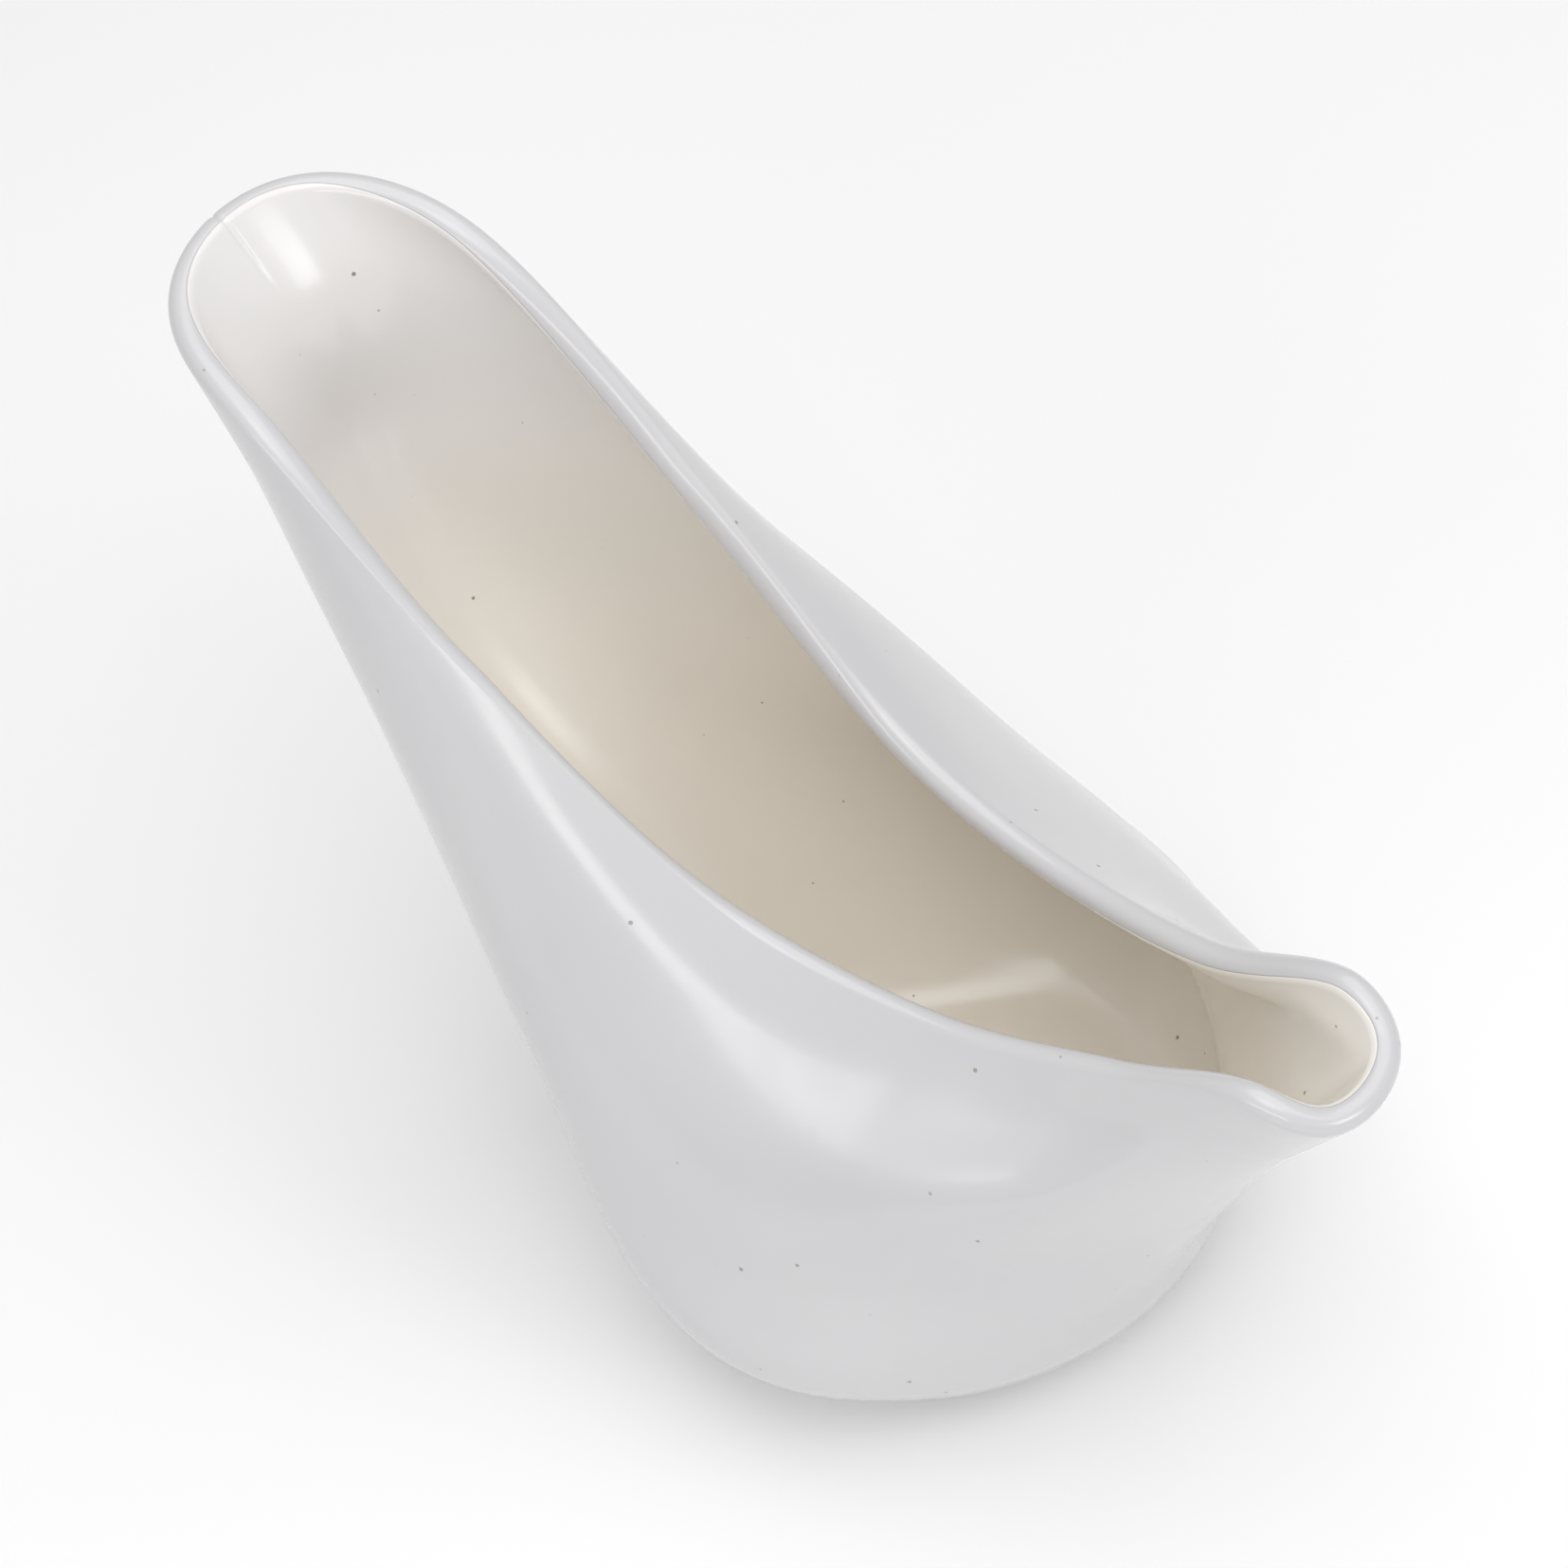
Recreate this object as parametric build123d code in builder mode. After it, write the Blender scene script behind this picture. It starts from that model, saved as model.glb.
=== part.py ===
"""Sauce boat: one slip-cast ceramic vessel with a trough handle, a pouring lip and a low foot.

Frame: millimetres, +Z up, origin on the ground under the middle of the foot.
+X points to the pouring lip, the handle rises towards -X, and XZ is the mirror plane.
The fired clay carries a white coat outside and over the rim, and a cream coat inside.
"""

import os
from math import copysign, cos, pi, sin, sqrt

from build123d import *

os.makedirs("parts", exist_ok=True)

# Wall
WALL = 4.2
GLAZE = 0.35
FLOOR_TOP = 8.0
FLOOR_BEND = 20.0
FLOOR_MEET = 9.0

# Foot
DRY_FOOT = 1.2
DRY_SHARE = 0.015
RECESS_DEPTH = 3.0
FOOT_BAND = 5.0

# Height levels of the wall, as shares of the rim height above them
LEVELS = [0, 0.11, 0.28, 0.50, 0.72, 0.88, 1]
# Reach of each level towards the handle and towards the pouring lip
BACK = [-30, -45, -66, -88, -101, -105, -116]
FRONT = [31, 41, 45, 53, 62, 71, 77]
# Half width of each level at stations from the handle's tip (-1) to the pouring lip (1)
STATIONS = [-1, -0.55, -0.10, 0.35, 0.70, 1]
HALF_WIDTH = [
    [30, 30, 30, 30, 30, 30],
    [33, 36, 41, 41, 39, 37],
    [35, 40, 51, 53, 47, 40],
    [33, 39, 47, 47, 40, 32],
    [27, 33, 40, 36, 29, 21],
    [25, 27, 29, 24, 16, 15],
    [21.5, 23, 18.5, 14.5, 12, 14.5],
]
# Roundness of both ends of each level: 2 is an ellipse, more is a blunter slot end
BACK_END = [2, 2, 2, 2, 3.4, 7, 10]
FRONT_END = [2, 3, 2.4, 2, 4.3, 8, 16]
# Height of the rim at stations from the handle's tip to the pouring lip, which dips at its end
RIM_STATIONS = [-1, -0.70, -0.35, 0, 0.30, 0.62, 0.86, 1]
RIM_HEIGHT = [146, 140, 110, 82, 76, 83, 95.5, 91]

# Modelling resolution
OUTLINE_POINTS = 64
WALL_SHARES = [0.05, 0.11, 0.18, 0.25, 0.31, 0.37, 0.47, 0.57, 0.67, 0.76, 0.83, 0.885, 0.925, 0.955]
LIP_SHARE = 0.975
INNER_SHARES = [0.97, 0.955, 0.925, 0.885, 0.83, 0.76, 0.67, 0.57, 0.47, 0.37, 0.3]
RIM_STEPS = 5
LINER_STEP = 4


def curve(knots, values, t):
    """Value at t of a smooth curve through (knots, values), with slopes from the neighbours."""
    last = len(knots) - 1
    i = max(j for j in range(last) if j == 0 or t >= knots[j])
    slopes = []
    for j in (i, i + 1):
        a, b = max(j - 1, 0), min(j + 1, last)
        slopes.append((values[b] - values[a]) / (knots[b] - knots[a]))
    span = knots[i + 1] - knots[i]
    u = (t - knots[i]) / span
    return (
        (2 * u**3 - 3 * u**2 + 1) * values[i]
        + (u**3 - 2 * u**2 + u) * span * slopes[0]
        + (3 * u**2 - 2 * u**3) * values[i + 1]
        + (u**3 - u**2) * span * slopes[1]
    )


def rim_height(turn):
    """Height of the rim above the ground."""
    return curve(RIM_STATIONS, RIM_HEIGHT, -cos(turn))


def wall(turn, share):
    """Point on the outer wall: turn 0 is at the handle, pi at the pouring lip."""
    u = -cos(turn)
    back = curve(LEVELS, BACK, share)
    front = curve(LEVELS, FRONT, share)
    widths = [curve(LEVELS, column, share) for column in zip(*HALF_WIDTH)]
    power = curve(LEVELS, BACK_END if u < 0 else FRONT_END, share)
    half_width = curve(STATIONS, widths, u) * sqrt(max(0, 1 - abs(u) ** power))
    return Vector(
        (back + front) / 2 + (front - back) / 2 * u,
        copysign(half_width, sin(turn)),
        share * rim_height(turn),
    )


def outward(turn, share):
    """Unit normal of the outer wall."""
    step = 1e-3
    along = wall(turn + step, share) - wall(turn - step, share)
    upward = wall(turn, share + step) - wall(turn, share - step)
    return upward.cross(along).normalized()


def below(turn, share, depth):
    """Point at a depth under the outer wall."""
    return wall(turn, share) - outward(turn, share) * depth


def lip(turn, angle, depth):
    """Point of the rounded rim: angle 0 meets the outer wall and pi the inner wall."""
    out = outward(turn, LIP_SHARE)
    rise = (Vector(0, 0, 1) - out * out.Z).normalized()
    radius = WALL / 2 - depth
    return below(turn, LIP_SHARE, WALL / 2) + (out * cos(angle) + rise * sin(angle)) * radius


def at_height(point, height):
    """The point moved straight up or down to a height."""
    return Vector(point.X, point.Y, height)


def floor_blend(turn, t, depth):
    """Point of the curve that turns the inner wall into the flat floor."""
    start = below(turn, FLOOR_BEND / rim_height(turn), WALL - depth)
    foot = below(turn, FLOOR_MEET / rim_height(turn), WALL - depth)
    corner = at_height(foot * 0.9, FLOOR_TOP - depth)
    end = at_height(foot * 0.72, FLOOR_TOP - depth)
    return start * (1 - t) ** 2 + corner * (2 * t * (1 - t)) + end * t**2


def ring(point):
    """Closed smooth edge through point(turn), once round the vessel."""
    turns = [2 * pi * i / OUTLINE_POINTS for i in range(OUTLINE_POINTS)]
    knots = [i / OUTLINE_POINTS for i in range(OUTLINE_POINTS + 1)]
    return Edge.make_spline([point(t) for t in turns], periodic=True, parameters=knots)


def outside(depth):
    """Rings up the outer wall."""
    return [ring(lambda t: below(t, share, depth)) for share in WALL_SHARES]


def rim(first, last, depth):
    """Rings over the rounded rim, from its step first to its step last."""
    return [ring(lambda t: lip(t, pi * i / RIM_STEPS, depth)) for i in range(first, last + 1)]


def inside(depth):
    """Rings down the inner wall and out onto the floor."""
    wall_rings = [ring(lambda t: below(t, share, WALL - depth)) for share in INNER_SHARES]
    return wall_rings + [ring(lambda t: floor_blend(t, i / 3, depth)) for i in range(1, 4)]


def foot_ring(share, height, depth):
    """Ring round the foot at a height above the ground."""
    return ring(lambda t: at_height(below(t, share, depth), height))


def bands(rings):
    """Faces between neighbouring rings."""
    return [Face.make_surface_from_curves(a, b) for a, b in zip(rings, rings[1:])]


def capped(rings):
    """Solid with bands between the rings and a flat face in the first and last ring."""
    ends = [Face(Wire([rings[0]])), Face(Wire([rings[-1]]))]
    return Solid(Shell(bands(rings) + ends))


# Fired clay: the whole vessel less the glaze, hollowed under the foot
with BuildPart() as clay_body:
    foot_rings = [foot_ring(0, 0, GLAZE), foot_ring(DRY_SHARE, DRY_FOOT, GLAZE)]
    add(capped(foot_rings + outside(GLAZE) + rim(0, RIM_STEPS, GLAZE) + inside(GLAZE)))
    with BuildSketch(Plane.XY):
        Ellipse((FRONT[0] - BACK[0]) / 2 - FOOT_BAND, HALF_WIDTH[0][0] - FOOT_BAND)
    extrude(amount=RECESS_DEPTH, mode=Mode.SUBTRACT)

# White coat: outside and over the rim, stopping short of the ground
with BuildPart() as outer_glaze:
    coat_face = [foot_ring(DRY_SHARE, DRY_FOOT, 0)] + outside(0) + rim(0, LINER_STEP, 0)
    coat_back = [foot_ring(DRY_SHARE, DRY_FOOT, GLAZE)] + outside(GLAZE) + rim(0, LINER_STEP, GLAZE)
    add(Solid(Shell(bands(coat_face + coat_back[::-1] + coat_face[:1]))))

# Cream coat: inside, from the inner edge of the rim to the floor
with BuildPart() as liner_glaze:
    liner_back = rim(LINER_STEP, RIM_STEPS, GLAZE) + inside(GLAZE)
    liner_face = rim(LINER_STEP, RIM_STEPS, 0) + inside(0)
    add(capped(liner_back[::-1] + liner_face))

clay_body.part.label = "clay_body"
outer_glaze.part.label = "outer_glaze"
liner_glaze.part.label = "liner_glaze"

export_step(clay_body.part, "parts/clay_body.step")
export_step(outer_glaze.part, "parts/outer_glaze.step")
export_step(liner_glaze.part, "parts/liner_glaze.step")
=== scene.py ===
"""Sauce boat: the looks of one glazed vessel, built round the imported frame.

Metres, +Z up, +X towards the pouring lip. Shapes are worked out in millimetres and scaled once.
"""

from math import cos, pi, radians, sin

import bpy
import numpy as np
from mathutils import Matrix, Vector


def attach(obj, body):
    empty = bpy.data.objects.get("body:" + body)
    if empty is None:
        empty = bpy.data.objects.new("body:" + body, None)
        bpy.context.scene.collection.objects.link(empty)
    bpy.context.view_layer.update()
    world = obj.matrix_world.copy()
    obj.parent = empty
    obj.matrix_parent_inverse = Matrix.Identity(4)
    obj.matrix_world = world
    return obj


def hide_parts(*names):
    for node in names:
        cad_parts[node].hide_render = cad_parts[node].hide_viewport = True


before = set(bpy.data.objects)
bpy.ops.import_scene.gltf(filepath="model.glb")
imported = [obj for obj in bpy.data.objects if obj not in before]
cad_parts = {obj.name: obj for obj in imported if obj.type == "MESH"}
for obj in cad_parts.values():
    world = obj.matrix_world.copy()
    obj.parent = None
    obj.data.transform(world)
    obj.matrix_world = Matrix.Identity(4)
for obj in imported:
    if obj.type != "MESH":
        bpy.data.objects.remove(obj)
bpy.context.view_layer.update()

MM = 0.001
# Keeps the finer meshes inside the box of the CAD solids
INSET = 0.9993

# ---------------------------------------------------------------- shape, in millimetres
WALL = 4.2
GLAZE = 0.35
FLOOR_TOP = 8.0
# Heights where the inner wall starts to bend, and where it would meet the floor without the bend
FLOOR_BEND = 20.0
FLOOR_MEET = 9.0

# Height levels of the outer wall, as shares of the rim's height, and its reach at each of them
LEVELS = [0, 0.11, 0.28, 0.50, 0.72, 0.88, 1]
BACK = [-30, -45, -66, -88, -101, -105, -116]
FRONT = [31, 41, 45, 53, 62, 71, 77]
# Stations from the handle's tip, -1, to the pouring lip, 1, with the half width of each level
STATIONS = [-1, -0.55, -0.10, 0.35, 0.70, 1]
HALF_WIDTH = [
    [30, 30, 30, 30, 30, 30],
    [33, 36, 41, 41, 39, 37],
    [35, 40, 51, 53, 47, 40],
    [33, 39, 47, 47, 40, 32],
    [27, 33, 40, 36, 29, 21],
    [25, 27, 29, 24, 16, 15],
    [21.5, 23, 18.5, 14.5, 12, 14.5],
]
# Powers that round the two ends of each level: 2 is an ellipse, and more is squarer
BACK_END = [2, 2, 2, 2, 3.4, 7, 10]
FRONT_END = [2, 3, 2.4, 2, 4.3, 8, 16]
RIM_STATIONS = [-1, -0.70, -0.35, 0, 0.30, 0.62, 0.86, 1]
RIM_HEIGHT = [146, 140, 110, 82, 76, 83, 95.5, 91]
# Share of the height where the wall ends and its rounded rim begins
LIP_SHARE = 0.975
# Angle over the rim where the white coat ends and the cream coat begins
LINER_ANGLE = 0.8 * pi

# The white coat ends above the dry foot, in a small roll
DRY_FOOT = 1.2
DRY_SHARE = 0.015
ROLL_DROP = 0.15
ROLL_DEPTH = GLAZE * 0.3
COAT_START = 0.024
# Depth of the coats' hidden backs, and of the clay under them
COAT_BACK = GLAZE * 1.6
CLAY_DEPTH = GLAZE * 2.2
CLAY_START = 0.03

# Foot ring and the recess inside it
FOOT_MIDDLE = (FRONT[0] + BACK[0]) / 2
FOOT_BAND = 5.0
FOOT_INSET = 1.3
FOOT_ROUND = 0.9
RECESS_DEPTH = 3.0
RECESS_CROWN = 0.35
RECESS_ROUND = 1.1

# Mould seam over the rim at the handle's tip: where it ends, and how softly
SEAM_DEPTH = 0.20
SEAM_WIDTH = 0.42
SEAM_END_X = 96
SEAM_FADE_X = 1.5
SEAM_END_Z = 138.5
SEAM_FADE_Z = 0.8
# Ring where the wall turns into the floor: its middle, its radii, and the height it stays under
RING_DEPTH = 0.28
RING_WIDTH = 0.07
RING_MIDDLE = 1.5
RING_X = 36.5
RING_Y = 35.0
RING_TOP = 14.0
RING_FADE = 1.0
# Slow waves of the cast wall
WAVE = 0.02

# Steps of the meshes
TURNS = 288
SEAM_STEP = 0.0035
SEAM_STEPS = 9
WALL_ROWS = 72
LIP_ROWS = 22
LINER_LIP_ROWS = 8
INNER_ROWS = 60
FLOOR_ROWS = 16
CENTRE_ROWS = 12
RECESS_ROWS = 9
RECESS_ROUND_ROWS = 7
FOOT_ROUND_ROWS = 6
FOOT_SKIN_ROWS = 4

UP = np.array([0.0, 0.0, 1.0])


def curve(knots, values, t):
    """Value at t of a smooth curve through (knots, values), with slopes from the neighbours."""
    t = np.asarray(t, float)
    k = np.asarray(knots, float)
    v = np.asarray(values, float)
    if v.ndim == 1:
        v = v.reshape((-1,) + (1,) * t.ndim)
    v = np.broadcast_to(v, (len(k),) + t.shape)
    order = np.arange(len(k))
    a = np.maximum(order - 1, 0)
    b = np.minimum(order + 1, len(k) - 1)
    slope = (v[b] - v[a]) / (k[b] - k[a]).reshape((-1,) + (1,) * t.ndim)
    i = np.clip(np.searchsorted(k, t, side="right") - 1, 0, len(k) - 2)

    def at(table, index):
        return np.take_along_axis(table, index[None], 0)[0]

    span = k[i + 1] - k[i]
    u = (t - k[i]) / span
    return (
        (2 * u**3 - 3 * u**2 + 1) * at(v, i)
        + (u**3 - 2 * u**2 + u) * span * at(slope, i)
        + (3 * u**2 - 2 * u**3) * at(v, i + 1)
        + (u**3 - u**2) * span * at(slope, i + 1)
    )


def rim_height(turn):
    return curve(RIM_STATIONS, RIM_HEIGHT, -np.cos(turn))


def wall(turn, share):
    """Points of the outer wall: turn 0 is at the handle, pi at the pouring lip."""
    turn, share = np.broadcast_arrays(np.asarray(turn, float), np.asarray(share, float))
    u = -np.cos(turn)
    back = curve(LEVELS, BACK, share)
    front = curve(LEVELS, FRONT, share)
    widths = np.array([curve(LEVELS, column, share) for column in zip(*HALF_WIDTH)])
    power = np.where(u < 0, curve(LEVELS, BACK_END, share), curve(LEVELS, FRONT_END, share))
    half_width = curve(STATIONS, widths, u) * np.sqrt(np.maximum(0, 1 - np.abs(u) ** power))
    side = np.where(np.sin(turn) < 0, -1, 1)
    x = (back + front) / 2 + (front - back) / 2 * u
    return np.stack([x, half_width * side, share * rim_height(turn)], -1)


def unit(v):
    return v / np.linalg.norm(v, axis=-1, keepdims=True)


def outward(turn, share):
    """Unit normals of the outer wall."""
    step = 1e-3
    along = wall(turn + step, share) - wall(turn - step, share)
    upward = wall(turn, share + step) - wall(turn, share - step)
    return unit(np.cross(upward, along))


def below(turn, share, depth):
    """Points at a depth under the outer wall, measured square to it."""
    return wall(turn, share) - outward(turn, share) * depth


def lip(turn, angle, depth):
    """Rounded rim: angle 0 meets the outer wall and pi the inner wall."""
    out = outward(turn, LIP_SHARE)
    rise = unit(UP - out * out[..., 2:])
    radius = WALL / 2 - depth
    return below(turn, LIP_SHARE, WALL / 2) + (out * cos(angle) + rise * sin(angle)) * radius


def at_height(points, height):
    flat = points.copy()
    flat[..., 2] = height
    return flat


def floor_blend(turn, t, depth):
    """Curve that turns the inner wall into the flat floor."""
    start = below(turn, FLOOR_BEND / rim_height(turn), WALL - depth)
    foot = below(turn, FLOOR_MEET / rim_height(turn), WALL - depth)
    corner = at_height(foot * 0.9, FLOOR_TOP - depth)
    end = at_height(foot * 0.72, FLOOR_TOP - depth)
    return start * (1 - t) ** 2 + corner * (2 * t * (1 - t)) + end * t**2


def turn_steps():
    """Turns once round, closer together at the handle's tip where the seam is."""
    even = np.arange(TURNS) * 2 * pi / TURNS
    fine = np.arange(1, SEAM_STEPS + 1) * SEAM_STEP
    keep = even[(even > fine[-1] + SEAM_STEP) & (even < 2 * pi - fine[-1] - SEAM_STEP)]
    return np.concatenate([[0.0], fine, keep, 2 * pi - fine[::-1]])


TURN = turn_steps()


# ---------------------------------------------------------------- rows of points, each once round
def outer_rows(depth, first_share):
    """Rows from low on the outer wall up to the rim."""
    return [below(TURN, s, depth) for s in np.linspace(first_share, LIP_SHARE, WALL_ROWS)[:-1]]


def lip_rows(first, last, depth, count):
    """Rows over the rim, from one angle to another."""
    return [lip(TURN, a, depth) for a in np.linspace(first, last, count)]


def inner_rows(depth):
    """Rows from under the rim down the inner wall and in over the floor to its middle."""
    low = FLOOR_BEND / rim_height(TURN)
    rows = []
    for t in np.linspace(0, 1, INNER_ROWS + 1)[1:]:
        rows.append(below(TURN, LIP_SHARE + (low - LIP_SHARE) * t, WALL - depth))
    for t in np.linspace(0, 1, FLOOR_ROWS + 1)[1:]:
        rows.append(floor_blend(TURN, t, depth))
    edge = rows[-1]
    for t in np.linspace(0, 1, CENTRE_ROWS + 1)[1:-1]:
        rows.append(edge * [1 - t, 1 - t, 1])
    return rows


def recess_row(reach_x, reach_y, height):
    """Level ellipse round the middle of the foot."""
    x = -np.cos(TURN) * reach_x + FOOT_MIDDLE
    return np.stack([x, np.sin(TURN) * reach_y, np.full_like(x, height)], -1)


def foot_rows():
    """Rows from the middle of the recess out over the dry foot ring to the coat's lower edge."""
    ring_x = (FRONT[0] - BACK[0]) / 2 - FOOT_BAND
    ring_y = HALF_WIDTH[0][0] - FOOT_BAND
    rows = []
    for t in np.linspace(1, 0, RECESS_ROWS)[1:-1]:
        height = RECESS_DEPTH + RECESS_CROWN * t
        rows.append(recess_row(ring_x * (1 - t), ring_y * (1 - t), height))
    for a in np.linspace(0, pi / 2, RECESS_ROUND_ROWS):
        inset = RECESS_ROUND * (1 - sin(a))
        height = RECESS_DEPTH - RECESS_ROUND * (1 - cos(a))
        rows.append(recess_row(ring_x - inset, ring_y - inset, height))
    for a in np.linspace(0, pi / 2, FOOT_ROUND_ROWS):
        flare = FOOT_ROUND * (1 - cos(a))
        rows.append(recess_row(ring_x + flare, ring_y + flare, FOOT_ROUND * (1 - sin(a))))
    rows.append(at_height(below(TURN, 0, FOOT_INSET), 0))
    for a in np.linspace(pi / 6, pi / 2, FOOT_SKIN_ROWS):
        skin = below(TURN, DRY_SHARE * 0.5, FOOT_INSET - (FOOT_INSET - GLAZE) * sin(a))
        rows.append(at_height(skin, FOOT_ROUND * (1 - cos(a))))
    rows.append(at_height(below(TURN, DRY_SHARE, GLAZE), DRY_FOOT + 0.1))
    return rows


# ---------------------------------------------------------------- fine detail of the surface
def waves(points):
    """Slow uneven swell of the cast surface, between -1 and 0."""
    x, y, z = points[..., 0], points[..., 1], points[..., 2]
    swell = (
        np.sin(x / 9.0 + 0.7) * np.sin(z / 11.0 + y / 17.0)
        + np.sin(y / 7.5 + 1.9) * np.sin(z / 8.0 - x / 23.0 + 0.4)
    )
    return (swell - 2) / 4


def seam(points):
    """1 along the mould seam where it crosses the rim at the handle's tip, fading down both walls."""
    across = np.exp(-((points[..., 1] / SEAM_WIDTH) ** 2))
    handle = 1 / (1 + np.exp((points[..., 0] + SEAM_END_X) / SEAM_FADE_X))
    high = 1 / (1 + np.exp(-(points[..., 2] - SEAM_END_Z) / SEAM_FADE_Z))
    return across * handle * high


def ground_ring(points):
    """1 along the ring round the floor."""
    x = (points[..., 0] - RING_MIDDLE) / RING_X
    y = points[..., 1] / RING_Y
    reach = np.hypot(x, y)
    low = 1 / (1 + np.exp((points[..., 2] - RING_TOP) / RING_FADE))
    return np.exp(-(((reach - 1) / RING_WIDTH) ** 2)) * low


def normals(grid):
    """Unit normals of a grid of rows that closes round each row, and up where it has none."""
    along = np.roll(grid, -1, 1) - np.roll(grid, 1, 1)
    across = np.gradient(grid, axis=0)
    cross = np.cross(across, along)
    length = np.linalg.norm(cross, axis=-1, keepdims=True)
    return np.where(length > 1e-9, cross / np.maximum(length, 1e-9), UP)


def glazed(rows, detail):
    """The rows pushed inwards by detail, a list of (depth, field)."""
    grid = np.array(rows)
    push = sum(depth * field(grid) for depth, field in detail)
    return list(grid + normals(grid) * push[..., None])


# ---------------------------------------------------------------- meshes
def mesh_object(name, points, faces):
    """Smooth-shaded object from points in millimetres."""
    mesh = bpy.data.meshes.new(name)
    mesh.from_pydata((np.asarray(points) * MM * INSET).tolist(), [], faces)
    mesh.update()
    mesh.polygons.foreach_set("use_smooth", [True] * len(mesh.polygons))
    obj = bpy.data.objects.new(name, mesh)
    bpy.context.scene.collection.objects.link(obj)
    return obj


def lathe(name, rows, looped=False, first_cap=None, last_cap=None):
    """Closed mesh through rows of points; looped joins the last row to the first, and a cap is a
    point that closes the first or last row as a fan."""
    count = len(rows[0])
    points = [p for row in rows for p in row]
    faces = []
    pairs = [(r, r + 1) for r in range(len(rows) - 1)]
    if looped:
        pairs.append((len(rows) - 1, 0))
    for r, s in pairs:
        for i in range(count):
            j = (i + 1) % count
            faces.append((r * count + i, s * count + i, s * count + j, r * count + j))
    for cap, row, turned in ((first_cap, 0, False), (last_cap, len(rows) - 1, True)):
        if cap is None:
            continue
        centre = len(points)
        points.append(cap)
        for i in range(count):
            a = row * count + i
            b = row * count + (i + 1) % count
            faces.append((centre, b, a) if turned else (centre, a, b))
    return mesh_object(name, points, faces)


def make_outer():
    """White coat: the outer wall from the dry foot to the inner edge of the rim."""
    roll = at_height(below(TURN, DRY_SHARE, ROLL_DEPTH), DRY_FOOT - ROLL_DROP)
    foot = at_height(below(TURN, DRY_SHARE, 0), DRY_FOOT)
    face = [roll, foot] + outer_rows(0, COAT_START) + lip_rows(0, LINER_ANGLE, 0, LIP_ROWS)
    face = glazed(face, [(WAVE, waves), (-SEAM_DEPTH, seam)])
    back = [at_height(below(TURN, DRY_SHARE, GLAZE), DRY_FOOT)]
    back += outer_rows(COAT_BACK, COAT_START) + lip_rows(0, LINER_ANGLE, COAT_BACK, LIP_ROWS)
    return lathe("white_coat", face + back[::-1], looped=True)


def make_liner():
    """Cream coat: from the inner edge of the rim down to the floor."""
    face = lip_rows(LINER_ANGLE, pi, 0, LINER_LIP_ROWS) + inner_rows(0)
    face = glazed(face, [(WAVE, waves), (-SEAM_DEPTH, seam), (-RING_DEPTH, ground_ring)])
    back = lip_rows(LINER_ANGLE, pi, COAT_BACK, LINER_LIP_ROWS) + inner_rows(COAT_BACK)
    return lathe(
        "cream_coat",
        face[::-1] + back,
        first_cap=UP * (FLOOR_TOP - WAVE / 2),
        last_cap=UP * (FLOOR_TOP - COAT_BACK),
    )


def make_clay():
    """Fired clay under the coats, with its dry foot ring and the recess inside it."""
    rows = foot_rows() + outer_rows(CLAY_DEPTH, CLAY_START)
    rows += lip_rows(0, pi, CLAY_DEPTH, LIP_ROWS) + inner_rows(CLAY_DEPTH)
    return lathe(
        "fired_clay_body",
        rows,
        first_cap=np.array([FOOT_MIDDLE, 0, RECESS_DEPTH + RECESS_CROWN]),
        last_cap=UP * (FLOOR_TOP - CLAY_DEPTH),
    )


# ---------------------------------------------------------------- materials
# Each pair is the darker and the paler tone of the colour's slow changes
WHITE = ((0.610, 0.604, 0.618, 1), (0.635, 0.630, 0.641, 1))
WHITE_MARK = (0.36, 0.33, 0.29, 1)
# The cream low in the bowl is lighter and warmer as painted bounce light; the cream near the rim is
# plainer
CREAM_LOW_WITH_PAINTED_BOUNCE = ((0.945, 0.900, 0.822, 1), (0.955, 0.912, 0.840, 1))
CREAM_NEAR_RIM = ((0.790, 0.772, 0.760, 1), (0.800, 0.778, 0.770, 1))
CREAM_MARK = (0.30, 0.25, 0.19, 1)
CLAY = ((0.66, 0.61, 0.53, 1), (0.74, 0.70, 0.63, 1))
CLAY_GRIT = (0.42, 0.36, 0.29, 1)
FLOOR_COLOUR = (0.93, 0.93, 0.93, 1)
PURE_WHITE = (1, 1, 1, 1)
# Heights in metres over which the painted bounce light fades out: the cream is lighter and warmer low
# in the bowl, standing in for light thrown round inside it, and plainer towards the rim
PAINTED_BOUNCE_HEIGHTS = (0.060, 0.128)
# Range of a noise pattern that is stretched to its full effect
NOISE_RANGE = (0.3, 0.7)
# Share of a speck's radius that is solid, and the width of the cut that picks specks
SPECK_CORE = 0.55
PICK_EDGE = 0.001


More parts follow.
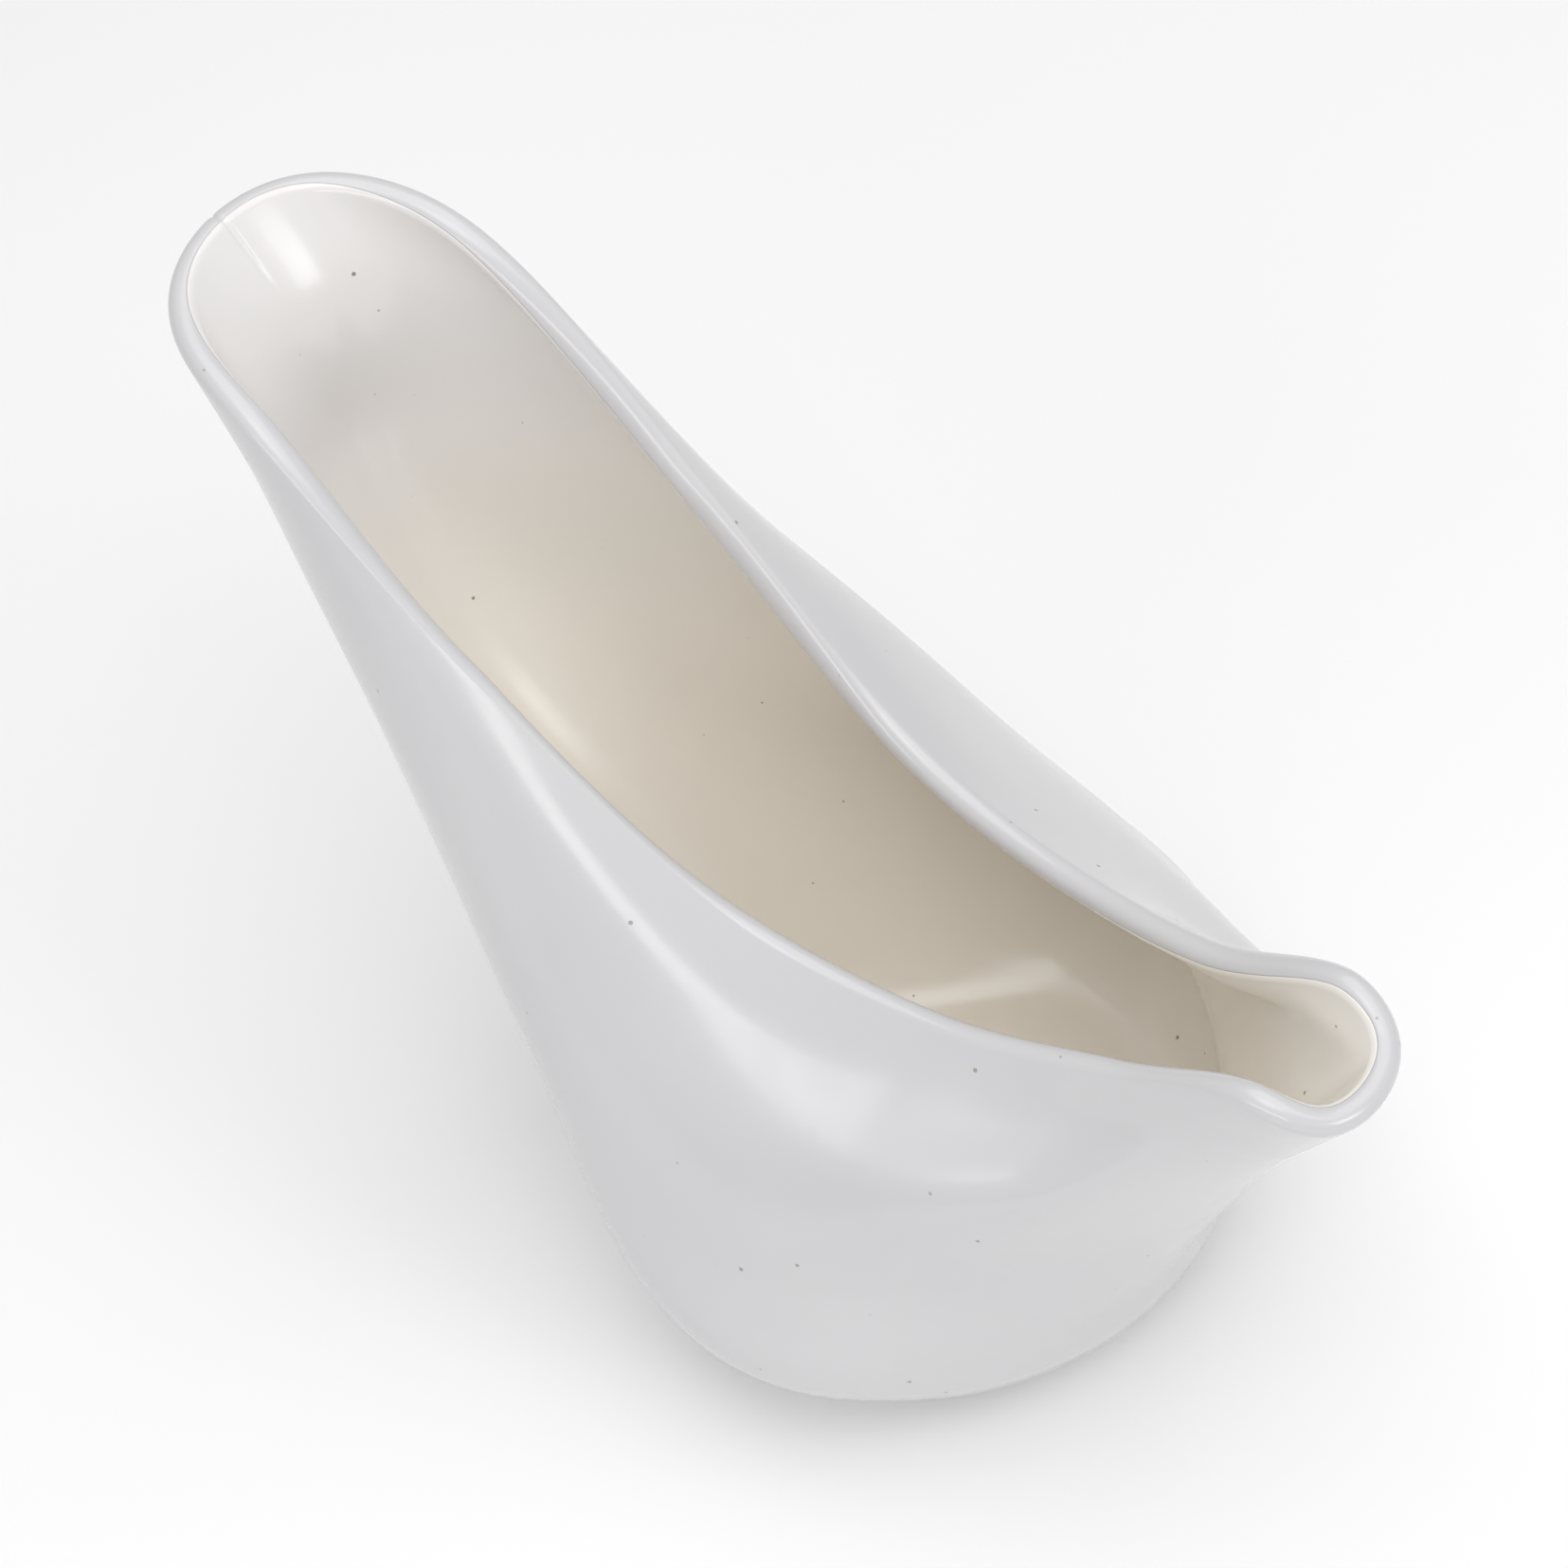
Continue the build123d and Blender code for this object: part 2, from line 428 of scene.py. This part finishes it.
class Nodes:
    """A short way to write one material's nodes."""

    def __init__(self, name):
        self.material = bpy.data.materials.new(name)
        self.material.use_nodes = True
        self.tree = self.material.node_tree
        self.shader = self.tree.nodes["Principled BSDF"]

    def link(self, a, b):
        self.tree.links.new(a, b)

    def put(self, socket, value):
        """Link a socket, or set a plain value."""
        if isinstance(value, bpy.types.NodeSocket):
            self.link(value, socket)
        else:
            socket.default_value = value

    def surface(self, name, value):
        self.put(self.shader.inputs[name], value)

    def place(self):
        return self.tree.nodes.new("ShaderNodeTexCoord").outputs["Object"]

    def noise(self, scale, detail=2.0, roughness=0.5):
        node = self.tree.nodes.new("ShaderNodeTexNoise")
        node.inputs["Scale"].default_value = scale
        node.inputs["Detail"].default_value = detail
        node.inputs["Roughness"].default_value = roughness
        self.link(self.place(), node.inputs["Vector"])
        return node.outputs["Fac"]

    def cloud(self, noise, to_low=0.0, to_high=1.0):
        """A noise pattern spread between two values."""
        return self.fit(noise, *NOISE_RANGE, to_low, to_high)

    def spots(self, scale):
        """Distance from scattered points, and a random value for each point."""
        node = self.tree.nodes.new("ShaderNodeTexVoronoi")
        node.inputs["Scale"].default_value = scale
        self.link(self.place(), node.inputs["Vector"])
        split = self.tree.nodes.new("ShaderNodeSeparateColor")
        self.link(node.outputs["Color"], split.inputs["Color"])
        return node.outputs["Distance"], split.outputs["Red"]

    def fit(self, value, low, high, to_low=0.0, to_high=1.0):
        """Smooth step of a value between two limits."""
        node = self.tree.nodes.new("ShaderNodeMapRange")
        node.interpolation_type = "SMOOTHSTEP"
        self.link(value, node.inputs["Value"])
        node.inputs["From Min"].default_value = low
        node.inputs["From Max"].default_value = high
        node.inputs["To Min"].default_value = to_low
        node.inputs["To Max"].default_value = to_high
        return node.outputs["Result"]

    def maths(self, operation, a, b):
        node = self.tree.nodes.new("ShaderNodeMath")
        node.operation = operation
        self.put(node.inputs[0], a)
        self.put(node.inputs[1], b)
        return node.outputs["Value"]

    def mix(self, factor, a, b):
        node = self.tree.nodes.new("ShaderNodeMix")
        node.data_type = "RGBA"
        self.put(node.inputs["Factor"], factor)
        self.put(node.inputs["A"], a)
        self.put(node.inputs["B"], b)
        return node.outputs["Result"]

    def axis(self, letter):
        split = self.tree.nodes.new("ShaderNodeSeparateXYZ")
        self.link(self.place(), split.inputs["Vector"])
        return split.outputs[letter]

    def bump(self, height, distance):
        node = self.tree.nodes.new("ShaderNodeBump")
        node.inputs["Strength"].default_value = 1.0
        node.inputs["Distance"].default_value = distance
        self.link(height, node.inputs["Height"])
        self.surface("Normal", node.outputs["Normal"])


def specks(nodes, scale, radius, share):
    """1 inside round specks of that radius, in a share of the pattern's cells, and 0 elsewhere."""
    distance, pick = nodes.spots(scale)
    disc = nodes.fit(distance, radius * SPECK_CORE, radius, 1.0, 0.0)
    return nodes.maths("MULTIPLY", disc, nodes.fit(pick, share - PICK_EDGE, share, 1.0, 0.0))


def glaze_finish(nodes, colour, dark):
    """Colour specks, roughness and fine unevenness that both coats share."""
    pits = specks(nodes, scale=130, radius=0.050, share=0.55)
    crumbs = specks(nodes, scale=330, radius=0.075, share=0.10)
    marks = nodes.maths("MAXIMUM", pits, nodes.maths("MULTIPLY", crumbs, 0.7))
    nodes.surface("Base Color", nodes.mix(marks, colour, dark))
    gloss = nodes.cloud(nodes.noise(55, 3.0, 0.6), to_low=0.17, to_high=0.25)
    nodes.surface("Roughness", nodes.maths("ADD", gloss, nodes.maths("MULTIPLY", marks, 0.3)))
    nodes.surface("IOR", 1.52)
    nodes.surface("Coat Weight", 0.35)
    nodes.surface("Coat Roughness", 0.12)
    swell = nodes.noise(42, 1.0)
    fine = nodes.maths("MULTIPLY", nodes.noise(420, 2.0), 0.02)
    sunk = nodes.maths("MULTIPLY", marks, 0.35)
    height = nodes.maths("SUBTRACT", nodes.maths("ADD", swell, fine), sunk)
    nodes.bump(height, distance=0.00022)


def white_glaze():
    nodes = Nodes("white_glaze")
    cloud = nodes.cloud(nodes.noise(16, 2.0))
    glaze_finish(nodes, nodes.mix(cloud, *WHITE), WHITE_MARK)
    return nodes.material


def cream_glaze():
    """Cream with painted bounce light: lighter and warmer low in the bowl, plainer towards the rim.
    """
    nodes = Nodes("cream_glaze")
    cloud = nodes.cloud(nodes.noise(22, 3.0, 0.6))
    # Painted bounce light: the colour turns lighter and warmer lower down, by height alone
    rise = nodes.fit(nodes.axis("Z"), *PAINTED_BOUNCE_HEIGHTS)
    colour = nodes.mix(rise, nodes.mix(cloud, *CREAM_LOW_WITH_PAINTED_BOUNCE), nodes.mix(cloud, *CREAM_NEAR_RIM))
    glaze_finish(nodes, colour, CREAM_MARK)
    return nodes.material


def fired_clay():
    """Dry clay with a grain and grit, bare only on the foot."""
    nodes = Nodes("fired_clay")
    grain = nodes.noise(900, 4.0, 0.7)
    colour = nodes.mix(nodes.cloud(nodes.noise(40, 3.0)), *CLAY)
    grit = specks(nodes, scale=700, radius=0.12, share=0.25)
    nodes.surface("Base Color", nodes.mix(grit, colour, CLAY_GRIT))
    nodes.surface("Roughness", nodes.cloud(grain, to_low=0.62, to_high=0.85))
    nodes.bump(grain, distance=0.00015)
    return nodes.material


def pale_floor():
    nodes = Nodes("pale_floor")
    nodes.surface("Base Color", FLOOR_COLOUR)
    nodes.surface("Roughness", 0.9)
    nodes.surface("Specular IOR Level", 0.2)
    nodes.surface("Emission Color", PURE_WHITE)
    nodes.surface("Emission Strength", 0.02)
    return nodes.material


# ---------------------------------------------------------------- pieces
for make, node, slot_name, material in (
    (make_clay, "clay_body", "fired_clay", fired_clay),
    (make_outer, "outer_glaze", "white_glaze", white_glaze),
    (make_liner, "liner_glaze", "cream_glaze", cream_glaze),
):
    piece = make()
    piece.data.materials.append(material())
    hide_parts(node)
    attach(piece, "root")

# ---------------------------------------------------------------- floor and light
WORLD_STRENGTH = 0.50
# Point that the lights look at
AIM = Vector((-0.022, 0.0, 0.070))

bpy.ops.mesh.primitive_circle_add(vertices=96, radius=3.0, fill_type="NGON", location=(0, 0, 0))
floor = bpy.context.object
floor.name = "floor"
floor.data.materials.append(pale_floor())

world = bpy.data.worlds.new("studio")
world.use_nodes = True
background = world.node_tree.nodes["Background"]
background.inputs["Color"].default_value = PURE_WHITE
background.inputs["Strength"].default_value = WORLD_STRENGTH
bpy.context.scene.world = world


def softbox(name, azimuth, elevation, distance, width, height, radiance):
    """Soft rectangular light that looks at the vessel from a direction."""
    a, e = radians(azimuth), radians(elevation)
    away = Vector((cos(a) * cos(e), sin(a) * cos(e), sin(e)))
    light = bpy.data.lights.new(name, "AREA")
    light.shape = "RECTANGLE"
    light.size = width
    light.size_y = height
    light.energy = radiance * pi * width * height
    lamp = bpy.data.objects.new(name, light)
    lamp.location = AIM + away * distance
    lamp.rotation_euler = away.to_track_quat("Z", "Y").to_euler()
    bpy.context.scene.collection.objects.link(lamp)


softbox("left_strip", azimuth=-74, elevation=24, distance=0.9, width=0.92, height=0.13, radiance=3.6)
softbox("right_strip", azimuth=6, elevation=20, distance=0.9, width=0.26, height=0.26, radiance=3.8)
softbox("overhead", azimuth=60, elevation=82, distance=0.8, width=1.0, height=1.0, radiance=1.30)
softbox("front_fill", azimuth=-42, elevation=66, distance=0.95, width=0.5, height=0.5, radiance=1.2)

# ---------------------------------------------------------------- camera
AZIMUTH, ELEVATION, ROLL = radians(46.99), radians(53.03), radians(-10.60)
DISTANCE = 0.57818
TARGET = Vector((-0.02207, 0.0, 0.08363))
# Focal length for an image of this many pixels a side
FOCAL = 4425.8
IMAGE_SIDE = 1655
SENSOR = 36
CLIP_START = 0.01

back = Vector((sin(AZIMUTH) * cos(ELEVATION), -cos(AZIMUTH) * cos(ELEVATION), sin(ELEVATION)))
right = Vector((cos(AZIMUTH), sin(AZIMUTH), 0))
up = back.cross(right)
camera = bpy.data.objects.new("camera", bpy.data.cameras.new("camera"))
camera.data.sensor_width = SENSOR
camera.data.lens = SENSOR * FOCAL / IMAGE_SIDE
camera.data.clip_start = CLIP_START
axes = (right * cos(ROLL) + up * sin(ROLL), up * cos(ROLL) - right * sin(ROLL), back)
turned = Matrix(axes).transposed().to_4x4()
camera.matrix_world = Matrix.Translation(TARGET + back * DISTANCE) @ turned
bpy.context.scene.collection.objects.link(camera)
bpy.context.scene.camera = camera

bpy.context.scene.view_settings.view_transform = "Standard"
